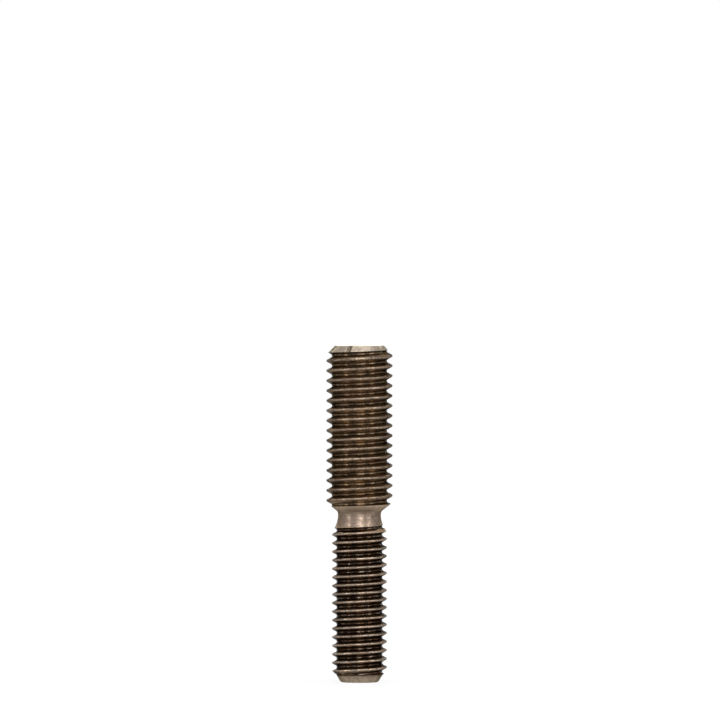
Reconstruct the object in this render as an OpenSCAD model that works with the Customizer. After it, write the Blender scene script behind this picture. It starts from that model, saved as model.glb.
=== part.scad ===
// Thread reducing stud: a round steel bar turned to two diameters with a waisted neck between them,
// then threaded M12 x 1.75 on its large end and M10 x 1.5 on its small end, both right-hand.
// It stands on the middle of its small end face, with its axis along +Z and the large end on top.

/* [Large end] */
// Outside diameter of the large thread, an M12 as rolled
large_d = 11.83; // [10.5:0.01:16]
// Pitch of the large thread
large_pitch = 1.75; // [1.25, 1.5, 1.75, 2]
// Length of the large end, from the shoulder's edge to its end face
large_length = 27.5; // [12:0.25:40]
// Diameter of the flat end face on the large end
large_face_d = 8.5; // [6:0.1:10]
// Angle of the large end's chamfer, from the axis
large_chamfer_angle = 45; // [30:1:60]
// Bearing of the large groove where it runs out at the end face
large_start_angle = 195; // [5:10:355]

/* [Small end] */
// Outside diameter of the small thread, an M10 as rolled
small_d = 9.85; // [8.8:0.01:10.4]
// Pitch of the small thread
small_pitch = 1.5; // [1.25, 1.5, 1.75]
// Length of the small end, from its end face to the start of the neck
small_length = 26.25; // [12:0.25:36]
// Diameter of the small end face, out to the corner that its edge rounds off
small_face_d = 6.46; // [4:0.02:8]
// Angle of the small end's chamfer, from the axis
small_chamfer_angle = 34; // [20:1:60]
// Radius of the rounded edge round the small end face
small_edge_radius = 0.6; // [0.1:0.05:1.2]
// Bearing of the small groove where it runs out at the end face
small_start_angle = 265; // [5:10:355]

/* [Neck] */
// Diameter at the waist of the neck
neck_d = 7.5; // [6:0.1:8.4]
// Radius of the long sweep from the small thread in to the waist
neck_sweep = 5; // [2:0.1:10]
// Radius of the fillet from the waist into the shoulder
neck_fillet = 0.9; // [0.5:0.1:3]
// Angle of the shoulder cone under the large thread, from the axis
shoulder_angle = 52; // [30:1:70]

/* [Thread form] */
// Angle between the flanks of a groove
flank_angle = 60; // [50:1:60]
// Facets in one turn of a groove
steps = 36; // [24:4:40]

/* [Hidden] */
$fn = 96;

large_r = large_d / 2;
large_face_r = large_face_d / 2;
small_r = small_d / 2;
small_face_r = small_face_d / 2;
neck_r = neck_d / 2;

// Heights up the axis, from the small end face
neck_drop = small_r - neck_r;
waist_z = small_length + sqrt(neck_drop * (2 * neck_sweep - neck_drop));
fillet_top_z = waist_z + neck_fillet * sin(shoulder_angle);
fillet_top_r = neck_r + neck_fillet * (1 - cos(shoulder_angle));
shoulder_z = fillet_top_z + (large_r - fillet_top_r) / tan(shoulder_angle);
top_z = shoulder_z + large_length;
large_chamfer_z = top_z - (large_r - large_face_r) / tan(large_chamfer_angle);
small_chamfer_z = (small_r - small_face_r) / tan(small_chamfer_angle);

// ISO metric thread form, as shares of the pitch and of the height of the sharp triangle
crest_share = 1 / 8;
depth_share = 17 / 24;
// A groove reaches this share of its pitch past the crest, to cut clear of the bar
rim_share = 1 / 20;

// Half section of the large end, from the middle of the waist to the top face
module large_end_profile() {
    polygon([
        [0, waist_z],
        [fillet_top_r, waist_z],
        [fillet_top_r, fillet_top_z],
        [large_r, shoulder_z],
        [large_r, large_chamfer_z],
        [large_face_r, top_z],
        [0, top_z]
    ]);
}

// Half section of the small end, from its rounded foot to the middle of the waist
module small_end_profile() {
    tangent = small_edge_radius / tan((90 + small_chamfer_angle) / 2);
    polygon([
        [0, 0],
        [small_face_r - tangent, 0],
        [small_face_r + tangent * sin(small_chamfer_angle), tangent * cos(small_chamfer_angle)],
        [small_r, small_chamfer_z],
        [small_r, waist_z],
        [0, waist_z]
    ]);
    translate([small_face_r - tangent, small_edge_radius])
        circle(small_edge_radius);
}

// Quarter of a round cut that bites in to the waist: side is 1 above the waist and -1 below it
module waist_cut(radius, side) {
    reach = large_r + radius;
    translate([neck_r + radius, waist_z])
        intersection() {
            union() {
                circle(radius);
                translate([0, -radius])
                    square([reach, 2 * radius]);
            }
            translate([-radius, side > 0 ? 0 : -radius])
                square([radius + reach, radius]);
        }
}

// The turned bar before it is threaded
module blank() {
    rotate_extrude()
        difference() {
            union() {
                large_end_profile();
                small_end_profile();
            }
            waist_cut(neck_sweep, -1);
            intersection() {
                waist_cut(neck_fillet, 1);
                square([fillet_top_r, fillet_top_z]);
            }
        }
}

// One right-hand helical groove, whose centre passes start_angle at the height face_z
module thread_groove(crest_r, pitch, face_z, start_angle, from_z, to_z) {
    slope = tan(flank_angle / 2);
    depth = depth_share * pitch / 2 / slope;
    root_r = crest_r - depth;
    root_half = pitch * (1 - crest_share) / 2 - depth * slope;
    rim_r = crest_r + rim_share * pitch;
    rim_half = root_half + (rim_r - root_r) * slope;
    section = [[root_r, -root_half], [rim_r, -rim_half], [rim_r, rim_half], [root_r, root_half]];

    first = floor((from_z - face_z) / pitch * steps);
    last = ceil((to_z - face_z) / pitch * steps);
    points = [
        for (step = [first : last])
            let (bearing = start_angle + 360 * step / steps)
            let (height = face_z + pitch * step / steps)
            for (corner = section)
                [corner[0] * cos(bearing), corner[0] * sin(bearing), height + corner[1]]
    ];
    end = 4 * (last - first);
    sides = [
        for (ring = [0 : 4 : end - 4])
            for (corner = [0 : 3])
                let (next = (corner + 1) % 4)
                each [
                    [ring + corner, ring + next, ring + 4 + next],
                    [ring + corner, ring + 4 + next, ring + 4 + corner]
                ]
    ];
    polyhedron(points, concat([[3, 2, 1, 0]], sides, [[end, end + 1, end + 2, end + 3]]));
}

// The whole stud, one solid piece of stainless steel
module stud() {
    large_end_z = top_z + large_pitch / 2;
    small_end_z = -small_pitch / 2;
    small_neck_z = waist_z - small_pitch / 2;
    color([0.55, 0.49, 0.44])
        difference() {
            blank();
            thread_groove(large_r, large_pitch, top_z, large_start_angle, fillet_top_z, large_end_z);
            thread_groove(small_r, small_pitch, 0, small_start_angle, small_end_z, small_neck_z);
        }
}

stud();
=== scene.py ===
import math

import bmesh
import bpy
from mathutils import Matrix


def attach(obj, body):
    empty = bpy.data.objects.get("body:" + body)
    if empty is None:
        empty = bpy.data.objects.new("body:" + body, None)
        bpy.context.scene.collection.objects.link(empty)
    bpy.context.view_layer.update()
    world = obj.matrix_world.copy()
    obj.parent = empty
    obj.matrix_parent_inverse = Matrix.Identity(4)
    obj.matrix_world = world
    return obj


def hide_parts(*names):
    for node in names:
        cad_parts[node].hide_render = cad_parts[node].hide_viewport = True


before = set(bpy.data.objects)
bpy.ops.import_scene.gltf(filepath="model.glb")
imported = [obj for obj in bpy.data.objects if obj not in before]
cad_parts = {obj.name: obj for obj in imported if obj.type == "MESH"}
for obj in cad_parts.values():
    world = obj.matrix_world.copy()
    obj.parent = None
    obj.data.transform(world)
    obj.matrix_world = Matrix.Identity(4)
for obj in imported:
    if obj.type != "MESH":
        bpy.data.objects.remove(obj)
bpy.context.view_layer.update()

# The bar, turned from round stainless steel: a chamfered large end, a shoulder cone, a waisted neck
# and a small end with a rounded foot. Here it stands a hair proud where the threads come, so that the
# threads keep their own crests and this bar only trims them at the chamfers and the neck.
mm = 0.001
stock = 0.05 * mm
large_r = 5.915 * mm
large_length = 27.5 * mm
large_face_r = 4.25 * mm
large_chamfer = math.tan(math.radians(45))
top_round = 0.1 * mm
small_r = 4.925 * mm
small_length = 26.25 * mm
small_face_r = 3.28 * mm
foot_r = 4.0 * mm
foot_height = 1.2 * mm
foot_round = 0.32 * mm
neck_r = 3.75 * mm
neck_sweep = 5.0 * mm
neck_fillet = 0.9 * mm
shoulder_angle = math.radians(52)
bar_steps = 192
weld = 0.001 * mm

neck_drop = small_r - neck_r
waist_z = small_length + math.sqrt(neck_drop * (2 * neck_sweep - neck_drop))
fillet_top_r = neck_r + neck_fillet * (1 - math.cos(shoulder_angle))
fillet_top_z = waist_z + neck_fillet * math.sin(shoulder_angle)
shoulder_z = fillet_top_z + (large_r - fillet_top_r) / math.tan(shoulder_angle)
top_z = shoulder_z + large_length


def draw_to(outline, pen, r, z):
    """Carries the outline on in a straight line from pen, which is None at its start."""
    corner = outline.verts.new((r, 0, z))
    if pen:
        outline.edges.new((pen, corner))
    return corner


def sweep_round(outline, pen, r, z, angle, steps):
    """Carries the outline on along an arc about the point r, z."""
    arc = bmesh.ops.spin(outline, geom=[pen], cent=(r, 0, z), axis=(0, 1, 0), angle=angle, steps=steps)
    return next(part for part in arc["geom_last"] if isinstance(part, bmesh.types.BMVert))


def round_off(outline, corners, reach, segments):
    """Rounds corners of the outline off."""
    bmesh.ops.bevel(outline, geom=corners, offset=reach, segments=segments, profile=0.5,
                    affect="VERTICES", material=-1)


def as_object(outline, name):
    """Makes an object of a finished shape, with its faces turned outwards."""
    bmesh.ops.recalc_face_normals(outline, faces=outline.faces)
    mesh = bpy.data.meshes.new(name)
    outline.to_mesh(mesh)
    outline.free()
    made = bpy.data.objects.new(name, mesh)
    bpy.context.scene.collection.objects.link(made)
    return made


bar = bmesh.new()
proud_small_r = small_r + stock
proud_large_r = large_r + stock
sweep_drop = proud_small_r - neck_r
sweep_height = math.sqrt(sweep_drop * (2 * neck_sweep - sweep_drop))

pen = draw_to(bar, None, 0, 0)
foot_corner = pen = draw_to(bar, pen, small_face_r, 0)
pen = draw_to(bar, pen, foot_r, foot_height)
pen = draw_to(bar, pen, proud_small_r, foot_height + proud_small_r - foot_r)
pen = draw_to(bar, pen, proud_small_r, waist_z - sweep_height)
pen = sweep_round(bar, pen, neck_r + neck_sweep, waist_z, math.asin(sweep_height / neck_sweep), steps=16)
pen = sweep_round(bar, pen, neck_r + neck_fillet, waist_z, shoulder_angle, steps=12)
pen = draw_to(bar, pen, proud_large_r, shoulder_z + stock / math.tan(shoulder_angle))
pen = draw_to(bar, pen, proud_large_r, top_z - (proud_large_r - large_face_r) / large_chamfer)
top_corner = pen = draw_to(bar, pen, large_face_r, top_z)
draw_to(bar, pen, 0, top_z)
round_off(bar, [foot_corner], foot_round, segments=6)
round_off(bar, [top_corner], top_round, segments=6)
bmesh.ops.spin(bar, geom=bar.verts[:] + bar.edges[:], cent=(0, 0, 0), axis=(0, 0, 1),
               angle=math.tau, steps=bar_steps, use_merge=True)
bmesh.ops.remove_doubles(bar, verts=bar.verts, dist=weld)
turned_bar = as_object(bar, "turned_bar")


def add_node(tree, kind, inputs, **settings):
    """Adds a node, and sets or links its inputs, which are given by name or number."""
    made = tree.nodes.new(kind)
    for name, value in settings.items():
        setattr(made, name, value)
    for socket, value in inputs.items():
        if isinstance(value, bpy.types.NodeSocket):
            tree.links.new(value, made.inputs[socket])
        else:
            made.inputs[socket].default_value = value
    return made


def sum_of(tree, operation, *values):
    """One step of arithmetic on single numbers."""
    return add_node(tree, "ShaderNodeMath", dict(enumerate(values)), operation=operation).outputs[0]


def scaled(tree, place, by):
    """A place or a colour with each of its three parts multiplied by that of another."""
    return add_node(tree, "ShaderNodeVectorMath", {0: place, 1: by}, operation="MULTIPLY").outputs[0]


def noise(tree, place, scale, detail, roughness):
    """Grain of about 0 to 1 at a place in millimetres; scale is how many grains there are to one."""
    inputs = {"Vector": place, "Scale": scale, "Detail": detail, "Roughness": roughness}
    return add_node(tree, "ShaderNodeTexNoise", inputs).outputs["Fac"]


def stretched(tree, low, high, to_low, to_high, value):
    """Carries a value from one range to another, and stops it at the ends."""
    inputs = {"Value": value, "From Min": low, "From Max": high, "To Min": to_low, "To Max": to_high}
    return add_node(tree, "ShaderNodeMapRange", inputs).outputs["Result"]


def tone_at(tree, value, tones):
    """A colour ramp; tones are pairs of a place from 0 to 1 and a colour, with an alpha or without."""
    ramp = add_node(tree, "ShaderNodeValToRGB", {0: value})
    while len(ramp.color_ramp.elements) < len(tones):
        ramp.color_ramp.elements.new(0.5)
    for stop, (at, tone) in zip(ramp.color_ramp.elements, tones):
        stop.position = at
        stop.color = (*tone, 1)[:4]
    return ramp.outputs


def times(tree, colour, factor):
    """A colour made lighter or darker."""
    inputs = {0: colour, "Scale": factor}
    return add_node(tree, "ShaderNodeVectorMath", inputs, operation="SCALE").outputs[0]


# Most of a grain lies between these two values.
grain_low = 0.3
grain_high = 0.7


def uneven(tree, grain, hollows, heights):
    """A factor that follows a grain, from one value in its hollows to another on its heights."""
    return stretched(tree, grain_low, grain_high, hollows, heights, grain)


def steel(name, edge):
    """Bare stainless steel of an edge-on tint, with its node tree, shader and place in millimetres."""
    made = bpy.data.materials.new(name)
    made.use_nodes = True
    tree = made.node_tree
    shader = tree.nodes["Principled BSDF"]
    shader.inputs["Metallic"].default_value = 1.0
    shader.inputs["Specular Tint"].default_value = (*edge, 1)
    metres = add_node(tree, "ShaderNodeTexCoord", {}).outputs["Object"]
    place = times(tree, metres, 1 / mm)
    return made, tree, shader, place


# Each tone is a height in millimetres, a colour and, as its fourth number, a roughness. The colours are
# painted light and shade as well as the steel's own colour: each zone is set lighter or darker so that
# it comes out at a chosen brightness under these lamps.
turned_edge = (0.355, 0.365, 0.34)
turned_tones_and_painted_light = (
    # The foot
    (0.0, (0.32, 0.255, 0.188, 0.28)), (1.1, (0.25, 0.194, 0.142, 0.28)),
    (1.3, (0.08, 0.058, 0.038, 0.3)),
    # The neck
    (26.5, (0.30, 0.215, 0.15, 0.42)), (27.3, (0.25, 0.183, 0.135, 0.42)),
    (27.6, (0.215, 0.161, 0.126, 0.42)), (28.4, (0.21, 0.157, 0.123, 0.42)),
    (29.2, (0.185, 0.139, 0.107, 0.42)), (29.9, (0.185, 0.137, 0.1, 0.43)),
    # The shoulder cone, painted much lighter than the neck: painted light, as if lit from below
    (30.2, (0.27, 0.205, 0.152, 0.46)), (30.9, (0.41, 0.315, 0.23, 0.55)),
    (31.7, (0.53, 0.405, 0.298, 0.55)),
    # The top chamfer and face
    (57.0, (0.265, 0.221, 0.176, 0.32)), (58.6, (0.275, 0.229, 0.183, 0.32)),
    (59.1, (0.33, 0.275, 0.22, 0.32)),
)
turned_steel, tree, shader, place = steel("turned_steel", turned_edge)
height = add_node(tree, "ShaderNodeSeparateXYZ", {0: place}).outputs["Z"]
across = scaled(tree, place, (1, 1, 0))
radius = add_node(tree, "ShaderNodeVectorMath", {0: across}, operation="LENGTH").outputs["Value"]
section = add_node(tree, "ShaderNodeCombineXYZ", {"X": radius, "Z": height}).outputs[0]
rings = noise(tree, section, scale=5.0, detail=2.0, roughness=0.6)
blotches = noise(tree, place, scale=1.6, detail=3.0, roughness=0.65)
share_up = sum_of(tree, "DIVIDE", height, top_z / mm)
ramp = tone_at(tree, share_up, [(z * mm / top_z, tone) for z, tone in turned_tones_and_painted_light])
tone = times(tree, ramp["Color"], uneven(tree, blotches, hollows=0.72, heights=1.28))
tone = times(tree, tone, uneven(tree, rings, hollows=0.82, heights=1.18))
tree.links.new(tone, shader.inputs["Base Color"])
rough = sum_of(tree, "MULTIPLY", ramp["Alpha"], uneven(tree, blotches, hollows=1.3, heights=0.7))
tree.links.new(rough, shader.inputs["Roughness"])
bump = add_node(tree, "ShaderNodeBump", {"Height": rings, "Strength": 0.25, "Distance": 0.004 * mm})
tree.links.new(bump.outputs[0], shader.inputs["Normal"])
shader.inputs["Anisotropic"].default_value = 0.5
shader.inputs["Anisotropic Rotation"].default_value = 0.25
turned_bar.data.materials.append(turned_steel)

# The two threads, rolled into the steel bar: one pitch of the thread's section, with its rounded root
# and crest, is carried round and up the axis as a right-hand screw, then cut square at both ends.
large_pitch = 1.75 * mm
large_crest_r = 5.81 * mm
large_root_r = 4.84 * mm
large_crest_z = 56.41 * mm
small_pitch = 1.5 * mm
small_crest_r = 4.81 * mm
small_root_r = 4.005 * mm
small_crest_z = 25.915 * mm
half_flank_angle = math.radians(30)
# The crest's flat takes this share of a pitch, and rounding takes the next share of each half flat.
crest_share = 1 / 6
round_share = 0.95
screw_steps = 72
spare_turns = 2
turn_weld = 0.004 * mm
cut_slack = 1e-9
spare = 2 * mm
rod_overlap = 0.4 * mm


def threaded_rod(name, crest_r, root_r, pitch, left_crest_z, bottom_z, end_z):
    """A rod threaded all along, whose crest passes the left side, at -X, at left_crest_z."""
    crest_half = pitch * crest_share / 2
    root_half = pitch / 2 - crest_half - (crest_r - root_r) * math.tan(half_flank_angle)
    turns_below = math.ceil((left_crest_z - bottom_z) / pitch) + spare_turns
    first_root_z = left_crest_z - turns_below * pitch

    rod = bmesh.new()
    pen = draw_to(rod, None, root_r, 0)
    roots = [pen := draw_to(rod, pen, root_r, root_half)]
    crests = [pen := draw_to(rod, pen, crest_r, pitch / 2 - crest_half)]
    crests.append(pen := draw_to(rod, pen, crest_r, pitch / 2 + crest_half))
    roots.append(pen := draw_to(rod, pen, root_r, pitch - root_half))
    draw_to(rod, pen, root_r, pitch)
    round_off(rod, roots, root_half * round_share, segments=4)
    round_off(rod, crests, crest_half * round_share, segments=4)
    bmesh.ops.translate(rod, verts=rod.verts, vec=(0, 0, first_root_z))

    bmesh.ops.spin(rod, geom=rod.verts[:] + rod.edges[:], cent=(0, 0, 0), axis=(0, 0, 1),
                   dvec=(0, 0, pitch / screw_steps), angle=math.tau, steps=screw_steps)
    one_turn = rod.verts[:] + rod.edges[:] + rod.faces[:]
    for turn in range(1, math.ceil((end_z - first_root_z) / pitch) + spare_turns):
        copied = bmesh.ops.duplicate(rod, geom=one_turn)["geom"]
        points = [part for part in copied if isinstance(part, bmesh.types.BMVert)]
        bmesh.ops.translate(rod, verts=points, vec=(0, 0, turn * pitch))
    bmesh.ops.remove_doubles(rod, verts=rod.verts, dist=turn_weld)
    for cut_z, away in ((bottom_z, -1), (end_z, 1)):
        whole = rod.verts[:] + rod.edges[:] + rod.faces[:]
        cut = bmesh.ops.bisect_plane(rod, geom=whole, dist=cut_slack, plane_co=(0, 0, cut_z),
                                     plane_no=(0, 0, away), clear_outer=True)
        rim = [part for part in cut["geom_cut"] if isinstance(part, bmesh.types.BMEdge)]
        bmesh.ops.triangle_fill(rod, edges=rim, use_beauty=True)
    return as_object(rod, name)


large_rod = threaded_rod("large_rod", large_crest_r, large_root_r, large_pitch, large_crest_z,
                         waist_z, top_z + spare)
small_rod = threaded_rod("small_rod", small_crest_r, small_root_r, small_pitch, small_crest_z,
                         -spare, waist_z + rod_overlap)

# Each tone is a place from one crest, at 0, up over the root to the next crest, at 1, with a colour and
# a roughness. The grooves are dark with painted shade as well as old oil and oxide; on the large thread
# the flanks that face down are painted lighter than those that face up, which is painted light; and the
# crests are worn where they rub.
# Plain steel, mixed in at rubbed spots, which are wear and also painted glints in the roots.
bare_glint_tone = (0.32, 0.27, 0.23)
stain_tones = ((0.42, (0.97, 0.985, 1.0)), (0.62, (1.0, 0.965, 0.925)))
large_edge = (0.315, 0.337, 0.355)
large_bare_glint_share = 0.15
large_tones_painted_light_and_shade = (
    (0.0, (0.184, 0.139, 0.102, 0.42)), (0.1, (0.16, 0.116, 0.08, 0.34)),
    (0.18, (0.112, 0.077, 0.046, 0.28)), (0.3, (0.107, 0.073, 0.043, 0.25)),
    (0.42, (0.088, 0.061, 0.038, 0.18)), (0.5, (0.06, 0.041, 0.025, 0.17)),
    (0.58, (0.13, 0.09, 0.053, 0.2)), (0.7, (0.33, 0.246, 0.17, 0.27)),
    (0.82, (0.275, 0.204, 0.142, 0.3)), (0.9, (0.192, 0.146, 0.105, 0.36)),
    (1.0, (0.184, 0.139, 0.102, 0.42)),
)
small_edge = (0.385, 0.407, 0.425)
small_bare_glint_share = 0.3
small_tones_painted_shade = (
    (0.0, (0.27, 0.214, 0.17, 0.34)), (0.1, (0.165, 0.12, 0.084, 0.28)),
    (0.25, (0.108, 0.072, 0.045, 0.2)), (0.4, (0.044, 0.027, 0.016, 0.14)),
    (0.5, (0.017, 0.01, 0.0065, 0.12)), (0.6, (0.046, 0.026, 0.013, 0.15)),
    (0.75, (0.08, 0.053, 0.032, 0.2)), (0.9, (0.202, 0.153, 0.114, 0.28)),
    (1.0, (0.27, 0.214, 0.17, 0.34)),
)
# The streaks and the rubbed places, which also serve as painted glints, have this many grains to a
# millimetre along X, Y and Z.
streak_grain = (0.28, 0.28, 3.0)
rubbed_glint_grain = (0.9, 0.9, 2.0)


def rolled_steel(name, pitch, left_crest_z, edge, tones, bare_glint_share):
    """Rolled steel whose tones follow the thread, with painted shade and light, streaks, stains, pits,
    and worn places that also serve as painted glints.
    """
    made, tree, shader, place = steel(name, edge)
    x, y, height = add_node(tree, "ShaderNodeSeparateXYZ", {0: place}).outputs
    turn = sum_of(tree, "MULTIPLY_ADD", sum_of(tree, "ARCTAN2", y, x), 1 / math.tau, 0.5)
    rise = sum_of(tree, "DIVIDE", sum_of(tree, "SUBTRACT", height, left_crest_z / mm), pitch / mm)
    ramp = tone_at(tree, sum_of(tree, "FRACT", sum_of(tree, "SUBTRACT", rise, turn)), tones)

    streaks = noise(tree, scaled(tree, place, streak_grain), scale=1.0, detail=4.0, roughness=0.65)
    blotches = noise(tree, place, scale=0.45, detail=4.0, roughness=0.6)
    pits = noise(tree, place, scale=3.0, detail=4.0, roughness=0.7)
    rubbed_glints = noise(tree, scaled(tree, place, rubbed_glint_grain), scale=1.0, detail=3.0, roughness=0.6)
    stains = noise(tree, place, scale=0.3, detail=3.0, roughness=0.6)

    # A Mix node set to colours takes them at its inputs 6 and 7, and gives their mix at its output 2.
    # Worn spots of plain steel, which also serve as painted glints along the roots.
    worn_and_glint_mix = stretched(tree, 0.5, 0.7, 0.0, bare_glint_share, rubbed_glints)
    inputs = {0: worn_and_glint_mix, 6: ramp["Color"], 7: (*bare_glint_tone, 1)}
    mixed = add_node(tree, "ShaderNodeMix", inputs, data_type="RGBA").outputs[2]
    tone = scaled(tree, mixed, tone_at(tree, stains, stain_tones)["Color"])
    tone = times(tree, tone, uneven(tree, streaks, hollows=0.45, heights=1.55))
    tone = times(tree, tone, uneven(tree, blotches, hollows=0.74, heights=1.26))
    tone = times(tree, tone, uneven(tree, pits, hollows=0.36, heights=1.64))
    tree.links.new(tone, shader.inputs["Base Color"])
    rough = sum_of(tree, "MULTIPLY", ramp["Alpha"], uneven(tree, blotches, hollows=1.25, heights=0.8))
    tree.links.new(rough, shader.inputs["Roughness"])
    dents = sum_of(tree, "ADD", streaks, pits)
    bump = add_node(tree, "ShaderNodeBump", {"Height": dents, "Strength": 0.5, "Distance": 0.01 * mm})
    tree.links.new(bump.outputs[0], shader.inputs["Normal"])
    return made


large_rod.data.materials.append(rolled_steel("large_thread_steel", large_pitch, large_crest_z,
                                             large_edge, large_tones_painted_light_and_shade, large_bare_glint_share))
small_rod.data.materials.append(rolled_steel("small_thread_steel", small_pitch, small_crest_z,
                                             small_edge, small_tones_painted_shade, small_bare_glint_share))


# The finished stud, one piece of steel: the threads stand where the bar leaves room for them, so its
# chamfers, shoulder and neck cut the first and last turns short, as the lathe did before rolling.
def combine(body, other, how):
    """Joins other to body, takes it away or keeps only what they share, and clears other away."""
    step = body.modifiers.new(how, "BOOLEAN")
    step.object = other
    step.operation = how
    step.solver = "MANIFOLD"
    step.material_mode = "TRANSFER"
    bpy.context.view_layer.update()
    seen = bpy.context.evaluated_depsgraph_get()
    result = bpy.data.meshes.new_from_object(body.evaluated_get(seen), depsgraph=seen)
    body.modifiers.clear()
    body.data = result
    bpy.data.objects.remove(other)


combine(large_rod, small_rod, "UNION")
combine(turned_bar, large_rod, "INTERSECT")

# A nick in the steel, which something hard left across the top chamfer: a shallow scoop down the slope,
# coloured a darker, speckled tone than the steel round it. It is the last thing cut, and the stud is
# then whole.
nick_bearing = math.radians(248)
nick_slope = math.radians(135)
nick_r = 4.85 * mm
nick_z = top_z - (nick_r - large_face_r)
nick_bend = 1.4 * mm
nick_depth = 0.09 * mm
nick_length = 1.7 * mm
nick_tone = (0.11, 0.089, 0.068)
nick_roughness = 0.35
crease_angle = math.radians(35)

scoop = bmesh.new()
lie = (Matrix.Rotation(nick_bearing, 4, "Z") @ Matrix.Translation((nick_r, 0, nick_z))
       @ Matrix.Rotation(nick_slope, 4, "Y") @ Matrix.Translation((nick_depth - nick_bend, 0, 0)))
bmesh.ops.create_cone(scoop, cap_ends=True, segments=64, radius1=nick_bend, radius2=nick_bend,
                      depth=nick_length, matrix=lie)
nick = as_object(scoop, "nick")
nick_steel, tree, shader, place = steel("nick_steel", turned_edge)
specks = noise(tree, place, scale=3.0, detail=3.0, roughness=0.6)
nick_speckle = stretched(tree, 0.35, 0.65, 0.6, 1.4, specks)
tree.links.new(times(tree, nick_tone, nick_speckle), shader.inputs["Base Color"])
shader.inputs["Roughness"].default_value = nick_roughness
nick.data.materials.append(nick_steel)
combine(turned_bar, nick, "DIFFERENCE")

turned_bar.name = turned_bar.data.name = "threaded_stud"
turned_bar.data.shade_smooth()
turned_bar.data.set_sharp_from_angle(angle=crease_angle)
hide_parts("stud")
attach(turned_bar, "root")

# The floor, a plain sheet of white paper under the stud, with white all round it.
# The metal and the camera see both as white, and the paper keeps the stud's soft shadow.
floor_size = 1.5
paper_white = (0.9, 0.9, 0.9, 1)
paper_share = 0.86
white = (1, 1, 1, 1)
fill_light = 0.3

sheet = bmesh.new()
bmesh.ops.create_grid(sheet, x_segments=1, y_segments=1, size=floor_size / 2)
floor = as_object(sheet, "floor")


def seen_directly(tree):
    """1 for what the camera sees itself, in metal or through glass, and 0 for the light on things."""
    path = add_node(tree, "ShaderNodeLightPath", {}).outputs
    bright = sum_of(tree, "MAXIMUM", path["Is Camera Ray"], path["Is Glossy Ray"])
    return sum_of(tree, "MAXIMUM", bright, path["Is Transmission Ray"])


paper = bpy.data.materials.new("white_paper")
paper.use_nodes = True
tree = paper.node_tree
tree.nodes.clear()
matt = add_node(tree, "ShaderNodeBsdfDiffuse", {"Color": paper_white})
lit = add_node(tree, "ShaderNodeEmission", {"Color": white, "Strength": 1.0})
share = sum_of(tree, "MULTIPLY", seen_directly(tree), paper_share)
both = add_node(tree, "ShaderNodeMixShader", {0: share, 1: matt.outputs[0], 2: lit.outputs[0]})
add_node(tree, "ShaderNodeOutputMaterial", {0: both.outputs[0]})
floor.data.materials.append(paper)

studio = bpy.data.worlds.new("studio")
bpy.context.scene.world = studio
studio.use_nodes = True
tree = studio.node_tree
tree.nodes.clear()
strength = stretched(tree, 0.0, 1.0, fill_light, 1.0, seen_directly(tree))
sky = add_node(tree, "ShaderNodeBackground", {"Color": white, "Strength": strength})
add_node(tree, "ShaderNodeOutputWorld", {0: sky.outputs[0]})

# The studio light: soft boxes, which are lamps behind white cloth, stand in a ring about the stud, a
# broad one in front, one on each side and three narrow ones behind, and a big one hangs overhead.
# Each in the ring has a bearing from the camera, a width and height in metres, and how bright it is.
ring_r = 0.8
ring_foot = 0.01
ring_boxes = (
    ("front", 5, (0.46, 0.94), 4.2),
    ("right", 55, (0.26, 0.94), 3.8),
    ("back_right", 148, (0.1, 0.94), 4.0),
    ("back", 180, (0.2, 0.94), 4.0),
    ("back_left", -148, (0.1, 0.94), 4.0),
    ("left", -60.5, (0.1, 0.94), 8.0),
)
above_size = (1.0, 1.0)
above_z = 1.1
above_glow = 1.4
quarter_turn = math.radians(90)


def soft_box(name, size, glow, location, rotation):
    """A lamp behind a white cloth, as bright all over as glow times white."""
    lamp = bpy.data.lights.new(name, "AREA")
    lamp.shape = "RECTANGLE"
    lamp.size, lamp.size_y = size
    lamp.energy = glow * math.pi * size[0] * size[1]
    box = bpy.data.objects.new(name, lamp)
    bpy.context.scene.collection.objects.link(box)
    box.location = location
    box.rotation_euler = rotation
    box.visible_camera = False


for side, bearing, size, glow in ring_boxes:
    angle = math.radians(bearing) - quarter_turn
    middle = (ring_r * math.cos(angle), ring_r * math.sin(angle), size[1] / 2 + ring_foot)
    soft_box("soft_box_" + side, size, glow, middle, (quarter_turn, 0, angle + quarter_turn))
soft_box("soft_box_above", above_size, above_glow, (0, 0, above_z), (0, 0, 0))

# The camera looks almost level at the upper end of the stud, from far off through a long lens, so that
# the stud stands in the lower half of the picture and its sides stay parallel.
tilt = math.radians(1.3)
away = 3.0
aim_x = 0.0965 * mm
aim_z = 56.54 * mm
lens = bpy.data.cameras.new("camera")
lens.sensor_width = 36.0
lens.lens = 855.3
camera = bpy.data.objects.new("camera", lens)
bpy.context.scene.collection.objects.link(camera)
camera.location = (aim_x, -away * math.cos(tilt), aim_z + away * math.sin(tilt))
camera.rotation_euler = (quarter_turn - tilt, 0, 0)
bpy.context.scene.camera = camera
bpy.context.scene.view_settings.view_transform = "Standard"
